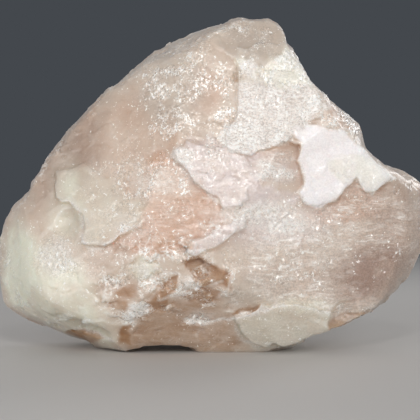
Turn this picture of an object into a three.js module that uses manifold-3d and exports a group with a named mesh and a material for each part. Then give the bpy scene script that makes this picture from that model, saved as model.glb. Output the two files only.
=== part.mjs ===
// A rough piece of morganite, the pale pink beryl, broken on every side.
//
// Frame: millimetres, +Z up, origin at the bottom centre of the bounding box. The broad face
// looks along -Y, and the stone stands on a flat break at z = 0.
//
// The stone is a lump whose widest section is its outline in the XZ plane. Flat breaks trim the
// lump to planes, ledges step its faces up and down, and small scars pit them.

import * as THREE from "three";
import { ImprovedNoise } from "three/addons/math/ImprovedNoise.js";
import { mergeVertices } from "three/addons/utils/BufferGeometryUtils.js";
import Module from "manifold-3d";

// Driving dimensions, in millimetres and degrees.
const WIDTH = 50; // tip to tip along X
const HEIGHT = 38; // base to the top knob along Z
const LUMP_DEPTH = 15; // from the widest section to the lump's untrimmed front or back
const LUMP_FULLNESS = 2.5; // 2 makes the lump's section an ellipse, and more makes it boxier
const LUMP_RINGS = 7; // rings of vertices on each half of the lump
const LUMP_ROUGHNESS = 0.6; // how far the lump's swells stand
const SWELL_SIZE = 5.5; // width of those swells
const RIM_WANDER = 3.2; // how far the rim strays to the front and the back
const RIM_WAVE = 17; // length of those strays
const RIM_BREAKS = 13; // flat breaks around the rim on each side
const RIM_BREAK_TILT = { front: [12, 36], back: [16, 54] }; // least and greatest lean of those breaks
const RIM_BREAK_SPARE = 1.6; // most that such a break stands clear of the rim
const EDGE_STEP = 1.2; // longest straight piece of a ledge's ragged edge
const EDGE_RAGGED = 0.35; // how far that edge strays
const SCAR_FACET = 1.1; // size of the facets on a scar
const SCAR_ROUGHNESS = 0.16; // how uneven a scar's ball is, as a share of its radius
const REACH = 4 * WIDTH; // side of the block that trims a flat break

// The two faces of the stone, as the sign of Y.
const FRONT = -1;
const BACK = 1;

// The middle of the widest section, which its rings shrink towards.
const MIDDLE = new THREE.Vector2(0, 0.46 * HEIGHT);

// The outline of the widest section as [x, z], going clockwise from the left tip.
const OUTLINE = [
  // left tip and the stepped lower part of the left slope
  [-25, 9.3], [-24.8, 12.5], [-24.1, 14.7], [-23.1, 16.4], [-21.2, 18.2], [-21.1, 19], [-20, 20.3], [-19.7, 21.1],
  // long left slope up to its small step
  [-18.7, 22.6], [-16.3, 25.6], [-14.7, 27.3], [-12.7, 29.3], [-12, 30], [-11.2, 30.1], [-8.2, 33], [-6.8, 34.3],
  // scalloped shoulder below the top
  [-6.2, 34.4], [-4, 35.7], [-3.3, 35.7], [-2.6, 36.3], [-0.5, 37], [1.1, 37.3],
  // top knob with its saddle
  [2.1, 37.9], [2.9, 38], [4.1, 37.7], [5, 37.7], [6.3, 37.9], [7.3, 37.4], [8, 36.6], [8.3, 35.2],
  // broken right side, stepping down to the hollow curve
  [9.4, 33.9], [9.9, 32.7], [10.6, 31.8], [10.4, 31.2], [11.8, 30], [13.4, 28.5], [15.6, 26.8], [16.8, 25.8],
  [17.1, 24.9], [17.3, 23.1], [18.2, 22], [19.5, 21.2], [21.8, 20.5],
  // right tip
  [23.4, 19.6], [24.6, 18.6], [25, 16.7], [24.8, 13.9], [24.3, 11.6], [22.6, 8], [21.9, 7.4], [20.5, 5.9],
  // lower right edge with its chip
  [18.7, 4.7], [16.7, 3.7], [14.5, 2.7], [12.5, 2.2], [11.8, 1.8], [11.2, 1.8], [10.5, 0.9], [9.3, 0.2],
  // underside: the foot, the shallow arch beside it and the left heel, both reaching below z = 0
  [8.2, -0.7], [-1.8, -0.9], [-2.9, 0.3], [-3.9, 0.9], [-6.7, 0.9], [-8.2, 0.4], [-9.6, -0.7], [-13, -0.7],
  [-14.4, 0.4], [-17, 0.9],
  // blunt lower left edge
  [-20.2, 2.1], [-22.3, 3], [-23.9, 4.2], [-24.6, 5.2],
];

// Flat breaks of each face: a point on the plane and the way the plane faces.
const BREAKS = {
  [FRONT]: {
    upperLeftSlope: { at: [-6, -11, 18], facing: [-0.48, -0.82, 0.31] },
    upperFace: { at: [-2, -11.8, 18], facing: [0.07, -0.945, 0.315] },
    rightSlope: { at: [2, -11.5, 14], facing: [0.35, -0.935, -0.05] },
    leftBulge: { at: [-17, -8.8, 10], facing: [-0.2, -0.965, -0.17] },
    underside: { at: [-3, -10, 6.5], facing: [0.03, -0.8, -0.6] },
    leftUnderside: { at: [-17, -7.9, 2.4], facing: [-0.3, -0.69, -0.66] },
    leftEnd: { at: [-22.6, -4.6, 10], facing: [-0.74, -0.66, -0.08] },
    leftBend: { at: [-13, -9.2, 10.4], facing: [-0.34, -0.92, 0.08] },
    rightEnd: { at: [21.6, -3.6, 9], facing: [0.7, -0.64, -0.32] },
    topCap: { at: [4.5, -6.2, 32.6], facing: [0.16, -0.84, 0.52] },
    shoulder: { at: [-4.5, -7.4, 31], facing: [-0.4, -0.76, 0.51] },
  },
  [BACK]: {
    middle: { at: [0, 10.6, 15], facing: [0.12, 0.98, 0.06] },
    lowerLeft: { at: [-9, 9.4, 11], facing: [-0.22, 0.96, -0.14] },
    upperLeft: { at: [-9, 7.2, 26], facing: [-0.4, 0.83, 0.39] },
    upperRight: { at: [10, 6.6, 27], facing: [0.46, 0.79, 0.4] },
    top: { at: [1, 7.4, 29], facing: [-0.02, 0.9, 0.43] },
    rightEnd: { at: [18.5, 6.2, 12], facing: [0.58, 0.8, -0.12] },
    underside: { at: [4, 7.6, 4], facing: [0.12, 0.76, -0.64] },
    leftHeel: { at: [-14, 6.8, 3.4], facing: [-0.25, 0.72, -0.65] },
    leftEnd: { at: [-19.5, 5.6, 10], facing: [-0.66, 0.74, -0.06] },
  },
};

// Ledges: an area of a face, its edge as [x, z], moved out (or, if negative, in) by its rise at
// the point "at" and lying along its own plane. A ledge stands on the sides where the two planes
// part, and dies out where they meet.
const LEDGES = {
  peachStep: {
    face: FRONT, at: [-0.5, 17.5], rise: -0.55, facing: [-0.1, -0.97, 0.2],
    edge: [
      [-6.2, 23.4], [-4.3, 21.9], [-2.7, 20.3], [-1, 18.7], [1, 17.1], [1.4, 15.2], [-0.6, 13.4], [-2.7, 12.2],
      [-7.3, 11.4], [-10.4, 12.4], [-8.2, 14.7], [-7.2, 17.2], [-8, 20.5],
    ],
  },
  orangeHollow: {
    face: FRONT, at: [7.5, 20.4], rise: -0.3, facing: [0.48, -0.87, 0.08],
    edge: [[5, 23.2], [8.4, 24.2], [9.8, 23.4], [9.8, 18], [7.6, 17.2], [5.4, 18.2], [4.2, 21]],
  },
  brownHollow: {
    face: FRONT, at: [-1, 9], rise: -0.3, facing: [-0.02, -0.99, 0.06],
    edge: [
      [-3.8, 9.6], [-3.1, 10.7], [-1.5, 11.2], [0.4, 10.2], [1.8, 9.1], [1.4, 7.6], [-0.4, 6.2], [-2.4, 6.4],
      [-4.6, 6.9],
    ],
  },
  brownGroove: {
    face: FRONT, at: [-5.8, 7.4], rise: -0.25, facing: [-0.3, -0.94, -0.1],
    edge: [[-3.8, 9.8], [-5.6, 8.8], [-7.2, 6.9], [-8, 5.6], [-6.6, 4.9], [-5, 7], [-4.2, 8.4]],
  },
  pinkPlate: {
    face: FRONT, at: [0.5, 20.5], rise: 0.2, facing: [0.12, -0.95, 0.3],
    edge: [
      [-4.3, 22.6], [-2.7, 24], [2.8, 23], [4.3, 21.1], [4.3, 19.4], [3, 16.8], [1, 17.1], [-1, 18.7],
      [-2.7, 20.3],
    ],
  },
  tongue: {
    face: FRONT, at: [-12.4, 14.5], rise: 0.45, facing: [-0.38, -0.82, 0.37],
    edge: [
      [-18, 20.4], [-17.9, 17.6], [-15.9, 17.2], [-14.9, 15.9], [-14.4, 14.2], [-14.5, 12.9], [-13.6, 12.2],
      [-12.4, 12.1], [-11, 12.9], [-9.8, 14], [-8.2, 14.7], [-7.3, 17], [-10.8, 19.4], [-14.8, 21.1],
    ],
  },
  whitePlate: {
    face: FRONT, at: [5.5, 27], rise: 0.4, facing: [0.1, -0.93, 0.34],
    edge: [
      [2.6, 34.3], [2.8, 29.2], [2.5, 26.6], [1, 24.2], [1.7, 22.8], [3.4, 22.5], [5.9, 23.3], [8.4, 24],
      [10, 25.7], [12, 26.9], [11.4, 30], [9.6, 32.2], [8.4, 35],
    ],
  },
  cap: {
    face: FRONT, at: [5, 33], rise: 0.43, facing: [0.12, -0.82, 0.55],
    edge: [
      [-1.2, 36], [0.4, 34.4], [2.4, 33.4], [3.4, 32.9], [5.1, 31.8], [6.6, 32.9], [8.3, 34.4], [9, 36], [4, 38.5],
    ],
  },
  rightFlake: {
    face: FRONT, at: [11.5, 19], rise: 0.4, facing: [0.31, -0.95, 0.06],
    edge: [
      [9.9, 26.2], [8.6, 25.4], [9.8, 23.7], [9.5, 21.7], [10.2, 19.6], [9.3, 18.3], [10.2, 16.9], [11.3, 16.4],
      [13.4, 17.5], [15.9, 19.6], [16.6, 18.7], [17.7, 18], [20.2, 19.9], [18.3, 21.4], [16.8, 23.1], [14.5, 25.4],
    ],
  },
  paleBar: {
    face: FRONT, at: [0.4, 13.6], rise: 0.3, facing: [0.2, -0.97, 0.05],
    edge: [[-2.9, 12.1], [-2.2, 13], [0.6, 14.6], [3.6, 16], [3.7, 14.9], [0.3, 12.5], [-2, 11.7]],
  },
  foot: {
    face: FRONT, at: [8, 3.2], rise: 0.5, facing: [0.2, -0.84, -0.5],
    edge: [
      [2.1, 4.4], [2.6, 3.2], [3.1, 2.2], [4.6, 0.9], [9.3, 0.8], [10.4, 1.2], [11.3, 2.1], [12.9, 2.5], [13.3, 4.8],
      [9.9, 5.6], [5.6, 5.6],
    ],
  },
  backHollow: {
    face: BACK, at: [-4.4, 10.4], rise: -0.7, facing: [0.06, 0.98, 0.08],
    edge: [
      [-12, 7], [-13.2, 10.6], [-10.4, 13.4], [-6.6, 14.2], [-3.4, 16.2], [0.6, 14.8], [1.6, 11.8], [-0.6, 8.8],
      [-2.8, 6.2], [-8, 4.9],
    ],
  },
  backNotch: {
    face: BACK, at: [5, 29], rise: -0.7, facing: [0.16, 0.87, 0.46],
    edge: [[-0.6, 30.4], [2.2, 33.4], [5.4, 34.4], [8.4, 31.6], [8.8, 27.8], [5.8, 24.6], [2.8, 25.6], [0.4, 27.2]],
  },
  backStep: {
    face: BACK, at: [6, 14], rise: -0.9, facing: [0.2, 0.97, -0.05],
    edge: [
      [1, 5], [-0.4, 9], [1.6, 12.4], [0.8, 16], [3, 19.5], [6.4, 20.4], [9, 23.6], [13.5, 22], [16, 16.5], [15, 9],
      [10.5, 5],
    ],
  },
  backPlate: {
    face: BACK, at: [-9, 21], rise: 0.5, facing: [-0.3, 0.93, 0.22],
    edge: [
      [-16.5, 17], [-13.2, 14.8], [-9.6, 15.6], [-6.2, 18], [-4.4, 22], [-5.8, 26.4], [-9, 29.2], [-13.6, 25],
    ],
  },
};

// Small rounded scars and pits: the part of a flattened ball that bites to a depth below the face
// at [x, z]. Radii run along X, Y and Z before the ball leans by so many degrees about Y.
const SCARS = {
  thumbprint: { face: FRONT, at: [-16.7, 14.4], depth: 0.6, radii: [4.4, 5.5, 5.4], lean: 18 },
  smallHole: { face: FRONT, at: [2.8, 31], depth: 0.3, radii: [1, 1.4, 1.2], lean: 0 },
  heelNotch: { face: FRONT, at: [-15.4, 1.9], depth: 2.5, radii: [4.6, 4.4, 2.4], lean: 12 },
  edgeChip: { face: FRONT, at: [14.7, 4.4], depth: 1, radii: [3.2, 3.2, 2], lean: -20 },
};

const wasm = await Module();
wasm.setup();
const noise = new ImprovedNoise();

/** The manifold solid of a closed geometry. */
function solidOf(geometry) {
  const bare = geometry.clone();
  bare.deleteAttribute("normal");
  bare.deleteAttribute("uv");
  const merged = mergeVertices(bare, 1e-4);
  return new wasm.Manifold(
    new wasm.Mesh({
      numProp: 3,
      vertProperties: merged.attributes.position.array,
      triVerts: new Uint32Array(merged.index.array),
    }),
  );
}

/** The geometry of a manifold solid, with flat-shaded faces. */
function geometryOf(solid) {
  const mesh = solid.getMesh();
  const geometry = new THREE.BufferGeometry();
  geometry.setAttribute("position", new THREE.BufferAttribute(mesh.vertProperties, 3));
  geometry.setIndex(new THREE.BufferAttribute(mesh.triVerts, 1));
  const flat = geometry.toNonIndexed();
  flat.computeVertexNormals();
  return flat;
}

/** Two octaves of swell at a point, from about -1 to 1. */
function swell(x, y, z) {
  const [u, v, w] = [x / SWELL_SIZE, y / SWELL_SIZE, z / SWELL_SIZE];
  return noise.noise(u, v, w) + 0.5 * noise.noise(2 * u, 2 * v, 2 * w);
}

/** How far the rim strays along Y at a point of the outline. */
function rimStray(x, z) {
  return 2 * RIM_WANDER * noise.noise(x / RIM_WAVE, 0.37, z / RIM_WAVE);
}

/** A closed ring of points with each one moved halfway towards the middle of its neighbours. */
function softened(ring) {
  const count = ring.length;
  return ring.map((point, i) => {
    const between = ring[(i + 1) % count].clone().lerp(ring[(i + count - 1) % count], 0.5);
    return point.clone().lerp(between, 0.5);
  });
}

/** The untrimmed lump: rings of the outline that shrink, and lose their detail, off the rim. */
function lumpGeometry() {
  const rim = OUTLINE.map(([x, z]) => new THREE.Vector2(x, z));
  let soft = rim;
  for (let pass = 0; pass < 12; pass++) {
    soft = softened(soft);
  }

  const positions = [MIDDLE.x, -LUMP_DEPTH, MIDDLE.y];
  for (let level = 1 - LUMP_RINGS; level < LUMP_RINGS; level++) {
    const turn = (level / LUMP_RINGS) * (Math.PI / 2);
    const size = Math.cos(turn) ** (2 / LUMP_FULLNESS);
    const off = Math.abs(Math.sin(turn)) ** (2 / LUMP_FULLNESS);
    rim.forEach((point, i) => {
      const spoke = point.clone().lerp(soft[i], Math.min(1, 2 * off)).sub(MIDDLE);
      const y = LUMP_DEPTH * off * Math.sign(level) + rimStray(point.x, point.y) * Math.cos(turn) ** 3;
      const swelling = LUMP_ROUGHNESS * off * swell(spoke.x, y, spoke.y);
      spoke.multiplyScalar(size);
      spoke.setLength(spoke.length() + swelling);
      positions.push(MIDDLE.x + spoke.x, y, MIDDLE.y + spoke.y);
    });
  }
  positions.push(MIDDLE.x, LUMP_DEPTH, MIDDLE.y);

  const count = rim.length;
  const rings = 2 * LUMP_RINGS - 1;
  const last = 1 + (rings - 1) * count;
  const index = [];
  for (let i = 0; i < count; i++) {
    const next = (i + 1) % count;
    index.push(0, 1 + next, 1 + i);
    for (let first = 1; first < last; first += count) {
      const [a, b] = [first + i, first + next];
      index.push(a, b, a + count, b, b + count, a + count);
    }
    index.push(last + count, last + i, last + next);
  }
  const geometry = new THREE.BufferGeometry();
  geometry.setAttribute("position", new THREE.Float32BufferAttribute(positions, 3));
  geometry.setIndex(index);
  return geometry;
}

/** A block that fills the space beyond a plane. */
function beyond({ at, facing }) {
  const block = new THREE.BoxGeometry(REACH, REACH, REACH).translate(0, 0, REACH / 2);
  const turn = new THREE.Quaternion().setFromUnitVectors(
    new THREE.Vector3(0, 0, 1),
    new THREE.Vector3(...facing).normalize(),
  );
  return solidOf(block.applyQuaternion(turn).translate(...at));
}

/** The flat break that a face of the stone shows at [x, z], moved out there by rise. */
function surfaceAt(face, [x, z], rise) {
  const planes = Object.values(BREAKS[face]).map(({ at, facing }) => {
    const y = at[1] - (facing[0] * (x - at[0]) + facing[2] * (z - at[2])) / facing[1];
    const outward = new THREE.Vector3(...facing).normalize();
    return { point: new THREE.Vector3(x, y, z).addScaledVector(outward, rise), outward };
  });
  return planes.reduce((shown, plane) => (face * (plane.point.y - shown.point.y) < 0 ? plane : shown));
}

/** Flat breaks around the rim, which lean to one face and clear the outline. */
function rimBreaks(face) {
  const rim = OUTLINE.map(([x, z]) => new THREE.Vector3(x, rimStray(x, z), z));
  const [leastTilt, greatestTilt] = face === FRONT ? RIM_BREAK_TILT.front : RIM_BREAK_TILT.back;
  return Array.from({ length: RIM_BREAKS }, (_, i) => {
    const around = ((i + (face === FRONT ? 0.2 : 0.7)) / RIM_BREAKS) * 2 * Math.PI;
    const chance = 0.5 + 0.5 * Math.sin(7.3 * i * face + 1.9);
    const tilt = THREE.MathUtils.degToRad(THREE.MathUtils.lerp(leastTilt, greatestTilt, chance));
    const facing = new THREE.Vector3(
      Math.cos(around) * Math.cos(tilt),
      face * Math.sin(tilt),
      Math.sin(around) * Math.cos(tilt),
    );
    const reach = Math.max(...rim.map((point) => point.dot(facing))) + RIM_BREAK_SPARE * (1 - chance);
    return { at: facing.clone().multiplyScalar(reach).toArray(), facing: facing.toArray() };
  });
}

/** The edge of a ledge with its straight pieces broken up and strayed. */
function ragged(edge) {
  return edge.flatMap(([x, z], i) => {
    const from = new THREE.Vector2(x, z);
    const to = new THREE.Vector2(...edge[(i + 1) % edge.length]);
    const pieces = Math.ceil(from.distanceTo(to) / EDGE_STEP);
    return Array.from({ length: pieces }, (_, piece) => {
      const point = from.clone().lerp(to, piece / pieces);
      const [u, w] = [point.x / EDGE_STEP, point.y / EDGE_STEP];
      const stray = new THREE.Vector2(noise.noise(u, 0.4, w), noise.noise(u, 5.7, w));
      return point.addScaledVector(stray, 2 * EDGE_RAGGED);
    });
  });
}

/** A prism along Y over a ledge's edge, from the widest section out past the face. */
function prism(face, edge) {
  const shape = new THREE.Shape(ragged(edge));
  const column = new THREE.ExtrudeGeometry(shape, { depth: 2 * LUMP_DEPTH, bevelEnabled: false });
  column.rotateX(Math.PI / 2);
  return solidOf(face === FRONT ? column : column.translate(0, 2 * LUMP_DEPTH, 0));
}

/** The piece that a ledge adds to the whole stone, or, if it falls, the piece it takes away. */
function ledgePiece(whole, { face, at, rise, facing, edge }) {
  const outer = beyond({ at: surfaceAt(face, at, rise).point.toArray(), facing });
  const column = prism(face, edge);
  if (rise < 0) {
    return column.intersect(outer);
  }
  return whole.translate(0, 2 * face * rise, 0).intersect(column).subtract(outer);
}

/** The uneven, flattened ball that leaves a scar. */
function scarBall({ face, at, depth, radii, lean }) {
  const ball = new THREE.IcosahedronGeometry(1, Math.ceil(Math.max(...radii) / SCAR_FACET));
  const corners = ball.attributes.position;
  const corner = new THREE.Vector3();
  for (let i = 0; i < corners.count; i++) {
    corner.fromBufferAttribute(corners, i);
    const { x, y, z } = corner.clone().multiplyScalar(SWELL_SIZE);
    corner.multiplyScalar(1 + SCAR_ROUGHNESS * swell(x + at[0], y, z + at[1]));
    corners.setXYZ(i, ...corner);
  }
  const { point, outward } = surfaceAt(face, at, radii[1] - depth);
  const upright = new THREE.Quaternion().setFromUnitVectors(new THREE.Vector3(0, face, 0), outward);
  ball.scale(...radii).rotateY(THREE.MathUtils.degToRad(lean)).applyQuaternion(upright);
  return solidOf(ball.translate(...point));
}

/** The stone as one solid, centred over the origin. */
function stone() {
  const planes = [FRONT, BACK].flatMap((face) => [...Object.values(BREAKS[face]), ...rimBreaks(face)]);
  const whole = planes.reduce((body, plane) => body.subtract(beyond(plane)), solidOf(lumpGeometry()));

  const ledges = Object.values(LEDGES);
  let body = whole;
  for (const fallen of ledges.filter(({ rise }) => rise < 0)) {
    body = body.subtract(ledgePiece(whole, fallen));
  }
  for (const scar of Object.values(SCARS)) {
    body = body.subtract(scarBall(scar));
  }
  for (const raised of ledges.filter(({ rise }) => rise > 0)) {
    body = body.add(ledgePiece(whole, raised));
  }
  body = body.subtract(beyond({ at: [0, 0, 0], facing: [0, 0, -1] }));
  const { min, max } = body.boundingBox();
  return body.translate(-(min[0] + max[0]) / 2, -(min[1] + max[1]) / 2, 0);
}

const morganite = new THREE.MeshStandardMaterial({ color: 0xe2c3b1, roughness: 0.3, metalness: 0 });
const crystal = new THREE.Mesh(geometryOf(stone()), morganite);
crystal.name = "morganite_crystal";

const part = new THREE.Group();
part.add(crystal);

export default part;
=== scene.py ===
"""The looks of a rough morganite crystal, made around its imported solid.

Scene lengths are in metres. Areas of the surface are laid out in millimetres in the XZ plane, the
plane of the stone's outline, because each lies on the stone's front or back.
"""

import logging
from collections.abc import Iterable
from dataclasses import dataclass, fields
from enum import Enum
from functools import partial, reduce
from typing import Any

import bmesh
import bpy
import numpy as np
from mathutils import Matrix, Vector, noise


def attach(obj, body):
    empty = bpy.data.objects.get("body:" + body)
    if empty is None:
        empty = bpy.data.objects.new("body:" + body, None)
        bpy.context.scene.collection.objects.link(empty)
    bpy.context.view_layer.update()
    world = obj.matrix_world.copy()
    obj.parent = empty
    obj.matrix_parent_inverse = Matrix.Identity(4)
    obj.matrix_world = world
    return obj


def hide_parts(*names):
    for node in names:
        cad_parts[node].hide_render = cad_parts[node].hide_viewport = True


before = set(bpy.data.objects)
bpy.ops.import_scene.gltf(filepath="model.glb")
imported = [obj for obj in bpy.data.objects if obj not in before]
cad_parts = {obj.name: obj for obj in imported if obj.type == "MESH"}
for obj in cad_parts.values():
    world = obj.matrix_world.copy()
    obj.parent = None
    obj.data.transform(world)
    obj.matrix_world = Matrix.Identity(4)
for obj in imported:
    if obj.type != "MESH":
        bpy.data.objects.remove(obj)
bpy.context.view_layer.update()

LOG = logging.getLogger("morganite")
MM = 0.001
NODE = "morganite_crystal"
PIECE = "morganite_surface"

CREST = "crest"  # the attribute that says how far a point stands out from those around it
CREST_REACH = 4  # edges over which a point is compared with those around it
WEAR_REACH = 90  # edges over which worn edges are rounded
FACE_TURN = 1.5  # half the depth over which areas fade out around the stone's rim, in millimetres

NOISE_MIDDLE = 0.5
EVEN = (1.0, 1.0, 1.0)
UNMOVED = (0.0, 0.0, 0.0)
FROM_SIDE_TO_SIDE = (0.12, 0.3, 1.0)  # how a pattern's axes are scaled to lay it out in stripes

WHITE = (1.0, 1.0, 1.0)
WARM_WHITE = (1.0, 0.985, 0.965)
COOL_WHITE = (0.98, 0.99, 1.0)

Point = tuple[float, float]
Pair = tuple[float, float]
Edge = tuple[Point, ...]
Triple = tuple[float, float, float]
Colour = tuple[float, float, float, float]
Socket = bpy.types.NodeSocket


def tone(red: int, green: int, blue: int) -> Colour:
    """A colour of everyday 0 to 255 values as the linear colour that nodes take.

    Args:
        red: Red value.
        green: Green value.
        blue: Blue value.

    Returns:
        The linear colour, opaque.
    """
    shares = [value / 255 for value in (red, green, blue)]
    linear = [c / 12.92 if c <= 0.04045 else ((c + 0.055) / 1.055) ** 2.4 for c in shares]
    return (*linear, 1.0)


def smoothstep(low: float, high: float, values: np.ndarray) -> np.ndarray:
    """A smooth rise from 0 at low to 1 at high.

    Args:
        low: Where the rise starts.
        high: Where it ends.
        values: The values to look up.

    Returns:
        The rise at each value.
    """
    share = np.clip((values - low) / (high - low), 0, 1)
    return share * share * (3 - 2 * share)


def reach_from(line: Edge, x: np.ndarray, z: np.ndarray) -> np.ndarray:
    """How far points are from a drawn line.

    Args:
        line: The corners of the line.
        x: The points' places along X.
        z: The points' places along Z.

    Returns:
        The distance of each point.
    """
    nearest = np.full(x.shape, np.inf)
    for (x0, z0), (x1, z1) in zip(line, line[1:]):
        along_x, along_z = x1 - x0, z1 - z0
        share = np.clip(((x - x0) * along_x + (z - z0) * along_z) / (along_x**2 + along_z**2), 0, 1)
        nearest = np.minimum(nearest, np.hypot(x - x0 - share * along_x, z - z0 - share * along_z))
    return nearest


def rolling(points: Iterable[Vector], fall: float, layers: int) -> np.ndarray:
    """A noise of several layers, each twice as fine as the one before it.

    Args:
        points: Where it is read.
        fall: How fast its finer layers grow weak.
        layers: Number of layers.

    Returns:
        The noise at each point.
    """
    return np.array([noise.fractal(point, fall, 2.0, layers) for point in points])


def face_target(thing: bpy.types.Object, target: Vector) -> None:
    """Turns a lamp or a camera towards a target."""
    thing.rotation_euler = (target - thing.location).to_track_quat("-Z", "Y").to_euler()


def bare_material(name: str) -> bpy.types.Material:
    """A new material whose tree is empty.

    Args:
        name: Its name.

    Returns:
        The material.
    """
    material = bpy.data.materials.new(name)
    material.use_nodes = True
    material.node_tree.nodes.clear()
    return material


class Face(Enum):
    """The two broad faces of the stone, as the sign of Y."""

    FRONT = -1
    BACK = 1


class Trait(Enum):
    """What can set an area of the surface apart. Each is a point attribute of the mesh."""

    FROST = "frost"  # granular and white
    PALE = "pale"  # smooth and near white
    MILK = "milk"  # cloudy, greenish white
    PINK = "pink"  # pale pink
    WARM = "warm"  # clear orange peach
    BROWN = "brown"  # deep brown
    # Grey where the stone is see-through: painted shade for the dark backdrop seen through it.
    CLEAR = "clear"  # grey and see-through
    # Darker and redder: partly the stone's redder tone, partly painted shade where its surface turns away
    # from the light.
    RED_AND_SHADE = "dusk"  # darker and redder, where the stone thins out
    # Glinting places get tilted facets that catch the lamps, and white glints painted into their colour.
    SPARK = "spark"  # splintered into glinting facets
    LEDGE = "ledge"  # broken into small ledges
    STREAK = "streak"  # finely striped from side to side
    WORN = "worn"  # with its edges worn round


@dataclass(frozen=True)
class Area:
    """An area of one face that has a trait.

    Attributes:
        trait: The trait.
        strength: How much of it the area has. Above 1 it stays strong where blotches weaken it.
        feather: Width over which the area fades out at its edge, in millimetres.
        face: The face that it is on.
    """

    trait: Trait
    strength: float
    feather: float
    face: Face

    def inside(self, x: np.ndarray, z: np.ndarray) -> np.ndarray:
        """How far points lie inside the edge, in millimetres, and outside it as less than 0."""
        raise NotImplementedError

    def cover(self, points: np.ndarray) -> np.ndarray:
        """The trait that the area gives to points.

        Args:
            points: The points in millimetres, one a row.

        Returns:
            The strength at each point.
        """
        depth = self.inside(points[:, 0], points[:, 2])
        share = smoothstep(-self.feather / 2, self.feather / 2, depth)
        on_face = smoothstep(-FACE_TURN, FACE_TURN, points[:, 1] * self.face.value)
        return self.strength * share * on_face


@dataclass(frozen=True)
class Oval(Area):
    """An oval area.

    Attributes:
        centre: Its middle.
        radii: Its radii along X and Z.
    """

    centre: Point
    radii: Point

    def inside(self, x: np.ndarray, z: np.ndarray) -> np.ndarray:
        """How far points lie inside the edge, in millimetres."""
        reach = np.hypot((x - self.centre[0]) / self.radii[0], (z - self.centre[1]) / self.radii[1])
        return (1 - reach) * min(self.radii)


@dataclass(frozen=True)
class Plate(Area):
    """An area with a drawn edge.

    Attributes:
        edge: The corners of its edge.
    """

    edge: Edge

    def inside(self, x: np.ndarray, z: np.ndarray) -> np.ndarray:
        """How far points lie inside the edge, in millimetres.

        Args:
            x: The points' places along X.
            z: The points' places along Z.

        Returns:
            The distance of each point from the edge, less than 0 for those outside it.
        """
        closed = self.edge + self.edge[:1]
        within = np.zeros(x.shape, dtype=bool)
        for (x0, z0), (x1, z1) in zip(closed, closed[1:]):
            if z0 != z1:
                within ^= ((z < z0) != (z < z1)) & (x < x0 + (z - z0) * (x1 - x0) / (z1 - z0))
        away = reach_from(closed, x, z)
        return np.where(within, away, -away)


@dataclass(frozen=True)
class Rim(Plate):
    """The border inside a drawn edge, which fades out inwards over its feather."""

    def inside(self, x: np.ndarray, z: np.ndarray) -> np.ndarray:
        """How far points lie from where the border has half faded out, towards the edge."""
        return self.feather / 2 - super().inside(x, z)


@dataclass(frozen=True)
class Seam(Area):
    """A thin drawn line.

    Attributes:
        line: The corners of the line.
        width: Its width, in millimetres.
    """

    line: Edge
    width: float

    def inside(self, x: np.ndarray, z: np.ndarray) -> np.ndarray:
        """How far points lie inside the line's width, in millimetres."""
        return self.width / 2 - reach_from(self.line, x, z)


def ovals(trait: Trait, strength: float, feather: float, *shapes: tuple[Point, Point]) -> list[Oval]:
    """Several ovals of one trait on the front.

    Args:
        trait: The trait.
        strength: How much of it they have.
        feather: Width over which they fade out.
        shapes: The centre and radii of each.

    Returns:
        The ovals.
    """
    return [Oval(trait, strength, feather, Face.FRONT, centre, radii) for centre, radii in shapes]


def plates(edge: Edge, feather: float, face: Face = Face.FRONT, **strengths: float) -> list[Plate]:
    """One drawn area with several traits.

    Args:
        edge: The area's edge.
        feather: Width over which it fades out.
        face: The face that it is on.
        strengths: The strength of each trait, by the trait's name.

    Returns:
        An area for each trait.
    """
    return [Plate(Trait(name), value, feather, face, edge) for name, value in strengths.items()]


def seams(
    trait: Trait, strength: float, width: float, *lines: Edge, face: Face = Face.FRONT
) -> list[Seam]:
    """Thin white lines where edges catch the light: partly frost, partly painted highlight.

    Args:
        trait: What sets them apart.
        strength: How much of it they have.
        width: Their width, over which they also fade out.
        lines: The corners of each.
        face: The face that they are on.

    Returns:
        The seams.
    """
    return [Seam(trait, strength, width, face, line, width) for line in lines]


STONE_EDGE = (
    (-25.0, 9.3), (-24.1, 14.7), (-21.1, 19.0), (-14.7, 27.3), (-6.8, 34.3), (1.1, 37.3), (6.3, 37.9),
    (8.3, 35.2), (10.4, 31.2), (16.8, 25.8), (17.3, 23.1), (23.4, 19.6), (25.0, 16.7), (24.3, 11.6),
    (20.5, 5.9), (14.5, 2.7), (9.3, 0.2), (-13.0, -0.7), (-20.2, 2.1), (-24.6, 5.2),
)
WHITE_PLATE = (
    (2.6, 30.4), (2.8, 29.2), (2.5, 26.6), (1.0, 24.2), (1.7, 22.8), (4.4, 22.4), (5.9, 23.3), (8.4, 24.0),
    (10.0, 25.7), (12.0, 26.9), (11.4, 29.6), (9.5, 30.6), (7.0, 29.8), (4.8, 30.6),
)
SCALY_TOP = (
    (2.6, 33.2), (2.6, 30.2), (4.8, 30.2), (7.0, 29.4), (9.5, 30.2), (11.4, 29.6), (9.6, 32.2), (8.2, 34.3),
    (6.6, 32.9), (5.1, 31.8), (3.4, 32.9),
)
GRAINY_SHOULDER = (
    (8.2, 34.3), (9.9, 33.6), (11.4, 31.8), (14.2, 29.2), (17.3, 26.4), (17.6, 23.6), (15.9, 24.2),
    (13.4, 25.4), (11.3, 26.0), (9.9, 25.7), (8.8, 26.5), (9.5, 28.6), (8.6, 30.9),
)
PINK_PLATE = (
    (-4.3, 22.6), (-2.7, 24.0), (0.2, 24.2), (2.8, 22.8), (5.6, 22.8), (4.9, 21.1), (5.6, 19.1), (8.2, 18.5),
    (9.9, 17.5), (6.5, 16.6), (3.0, 16.6), (1.0, 17.1), (-1.0, 18.7), (-2.7, 20.3),
)
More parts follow.
